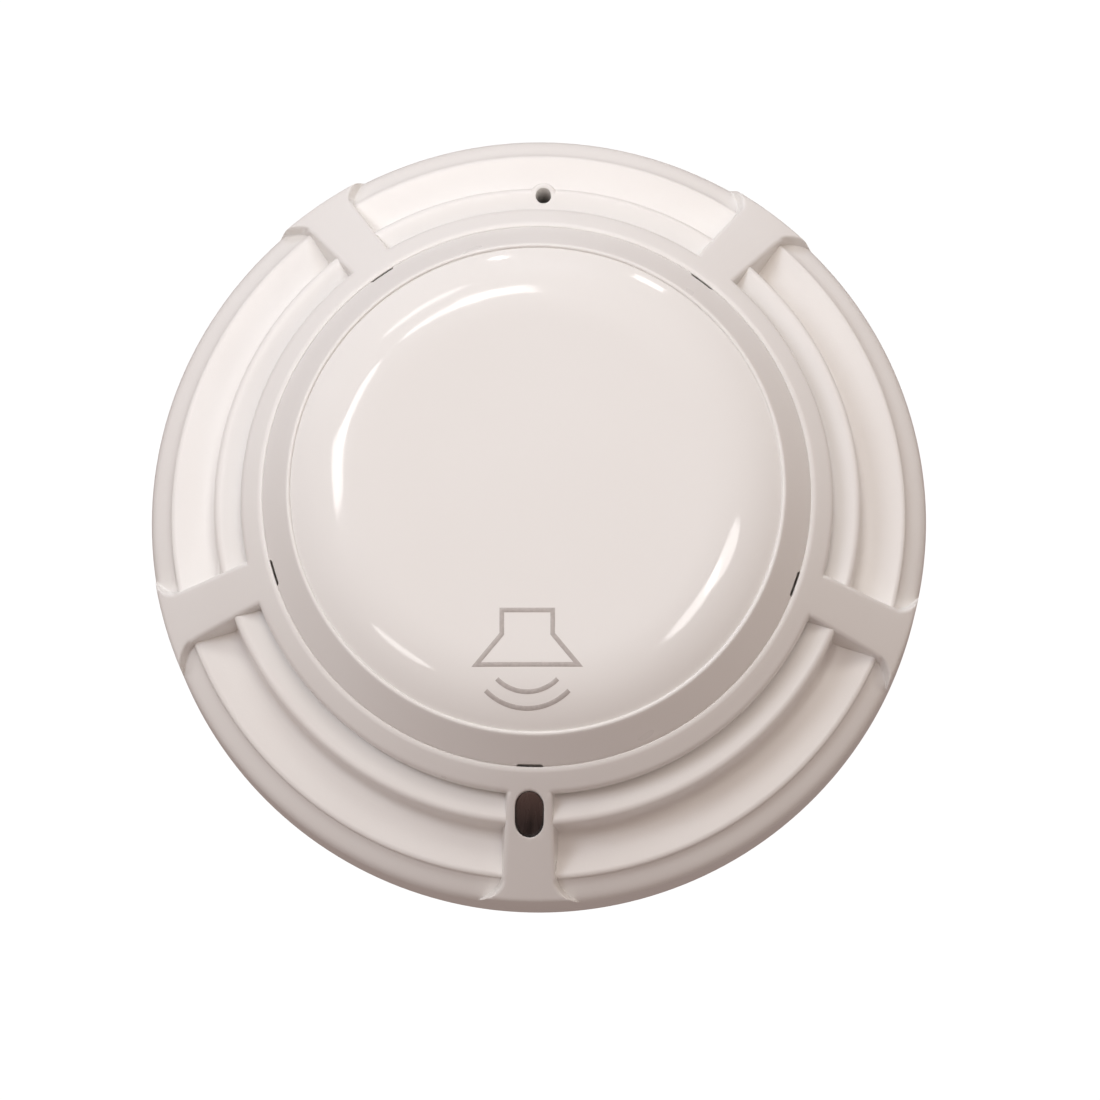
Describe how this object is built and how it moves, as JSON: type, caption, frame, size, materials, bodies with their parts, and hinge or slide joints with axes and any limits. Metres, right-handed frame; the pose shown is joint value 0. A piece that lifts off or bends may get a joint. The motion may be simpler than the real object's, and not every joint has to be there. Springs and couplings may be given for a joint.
{
  "type": "heat detector",
  "caption": "Round white ceiling heat detector head with stepped air gap, ribs, glossy dome and sounder, on a twist-lock base.",
  "frame": {"origin": "centre of the base's flat back face, which lies on the ceiling", "axes": "+Z points away from the ceiling into the room, and the indicator rib points along -Y"},
  "size_m": [0.11, 0.11, 0.0402],
  "materials": {
    "cover_plastic": "satin warm white moulding",
    "dome_plastic": "polished warm white moulding",
    "shell_plastic": "satin white moulding",
    "base_plastic": "matt white moulding",
    "cup_plastic": "matt pale grey moulding",
    "smoked_lens": "polished dark smoked lens",
    "mark_ink": "printed grey ink",
    "contact_metal": "stamped and plated",
    "steel": "zinc plated",
    "gasket_rubber": "soft matt",
    "board": "solder mask over glass laminate",
    "chip_black": "moulded epoxy",
    "ceramic_tan": "fired ceramic",
    "can_metal": "drawn can",
    "ferrite": "pressed ferrite",
    "led_body": "clear tinted epoxy",
    "bead_brown": "dipped epoxy",
    "piezo_white": "silvered ceramic",
    "wire_red": "insulated wire",
    "wire_black": "insulated wire"
  },
  "bodies": {
    "base": {"mounting_base": "base_plastic", "base_contacts": "contact_metal", "terminal_clamps": "steel", "terminal_screws": "steel"},
    "head": {"rear_housing": "base_plastic", "head_contacts": "contact_metal", "sealing_gasket": "gasket_rubber", "housing_screws": "steel", "circuit_board": "board", "board_screws": "steel", "microcontroller": "chip_black", "driver_chip": "chip_black", "board_passives": "ceramic_tan", "capacitors": "can_metal", "transformer": "ferrite", "indicator_led": "led_body", "thermistors": "bead_brown", "light_pipe": "smoked_lens", "stepped_housing": "shell_plastic", "resonator_cup": "cup_plastic", "sounder_screws": "steel", "piezo_disc": "contact_metal", "piezo_ceramic": "piezo_white", "piezo_lead_red": "wire_red", "piezo_lead_black": "wire_black", "front_cover": "cover_plastic", "bezel_ring": "cover_plastic", "dome_cap": "dome_plastic", "sounder_mark": "mark_ink", "latch_spring": "steel"},
    "latch": {"lock_latch": "base_plastic"}
  },
  "joints": [
    {"name": "head_twist", "type": "hinge", "parent": "base", "child": "head", "pos_m": [0, 0, 0], "axis": [0, 0, 1], "range_deg": [0, 18]},
    {"name": "latch_slide", "type": "slide", "parent": "head", "child": "latch", "axis": [0, -1, 0], "range_m": [0, 0.002], "stiffness_N_per_m": 150, "springref_m": -0.002, "deforming": ["latch_spring"]}
  ]
}
